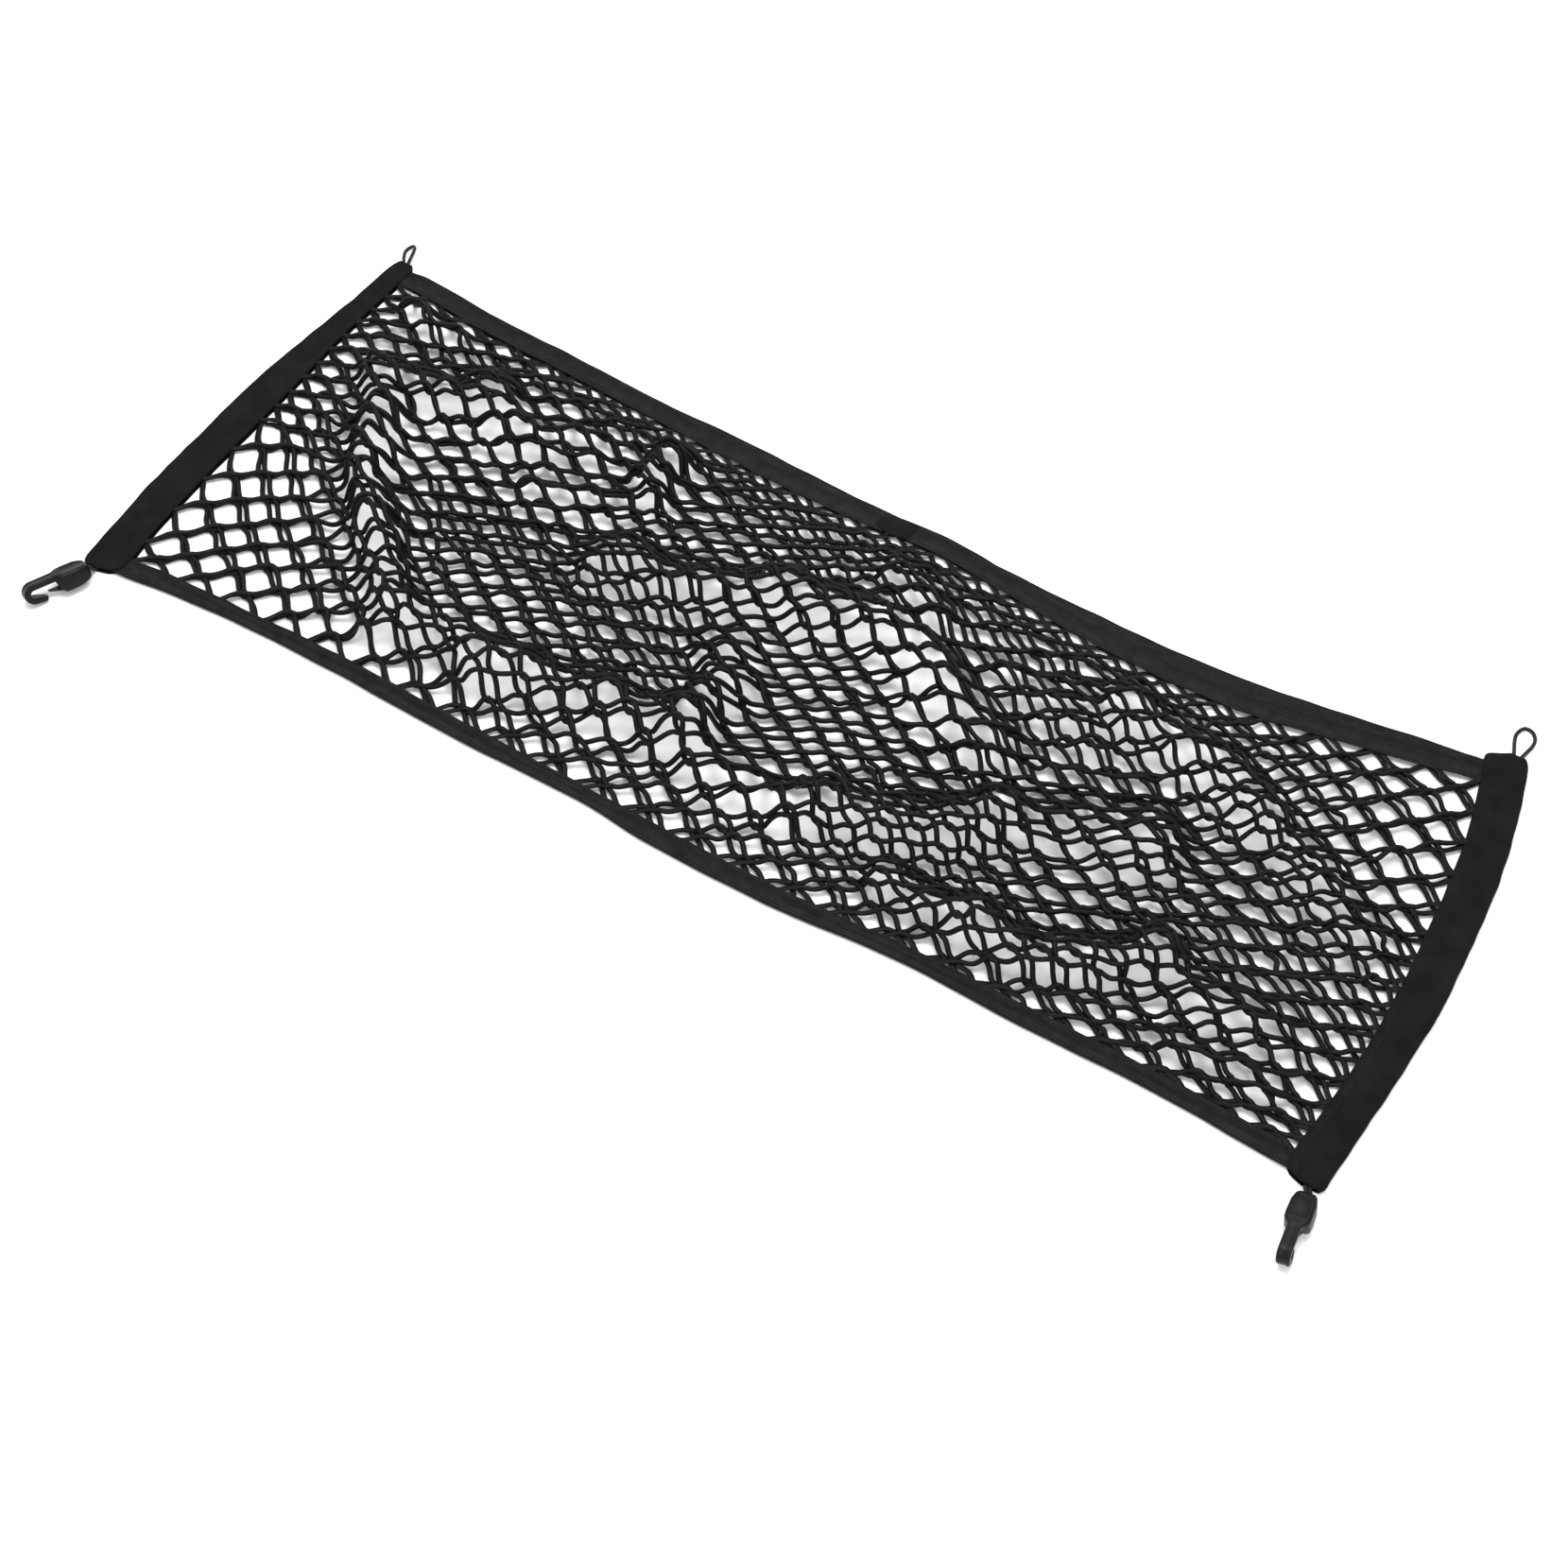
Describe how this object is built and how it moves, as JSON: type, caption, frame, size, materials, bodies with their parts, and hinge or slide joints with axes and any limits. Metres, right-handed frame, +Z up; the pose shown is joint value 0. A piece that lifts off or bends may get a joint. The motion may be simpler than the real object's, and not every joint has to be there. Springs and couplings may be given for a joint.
{
  "type": "cargo net",
  "caption": "Black elastic cargo net for a car boot: two layers of diamond mesh bound by webbing bands, with moulded hooks on short cords and corner loops, lying loosely gathered on a floor.",
  "frame": {"origin": "under the middle of the bounding box of everything but the two free corner loops, on the floor that the net lies on", "axes": "+X along the net's long edges, +Y from the closed edge with the hooks to the open edge, +Z up from the floor"},
  "size_m": [1.0336, 0.4968, 0.0462],
  "materials": {
    "net_cord": "black knitted polyester cord, dull with a soft sheen along its middle",
    "elastic_tape": "black knitted elastic with fine ribs along it, dull",
    "band_webbing": "black woven polyester webbing, dull, stitched along its edges",
    "hook_plastic": "black moulded nylon, satin",
    "loop_cord": "black braided cover over rubber cord, dull"
  },
  "bodies": {
    "root": {"end_band_left": "band_webbing", "end_band_right": "band_webbing", "near_elastic": "elastic_tape", "far_elastic_upper": "elastic_tape", "far_elastic_lower": "elastic_tape", "closure_tab": "band_webbing", "net_upper": "net_cord", "net_lower": "net_cord", "hook_left": "hook_plastic", "hook_right": "hook_plastic", "corner_loop_left": "loop_cord", "corner_loop_right": "loop_cord", "hook_cord_left": "loop_cord", "hook_cord_right": "loop_cord"}
  },
  "joints": []
}
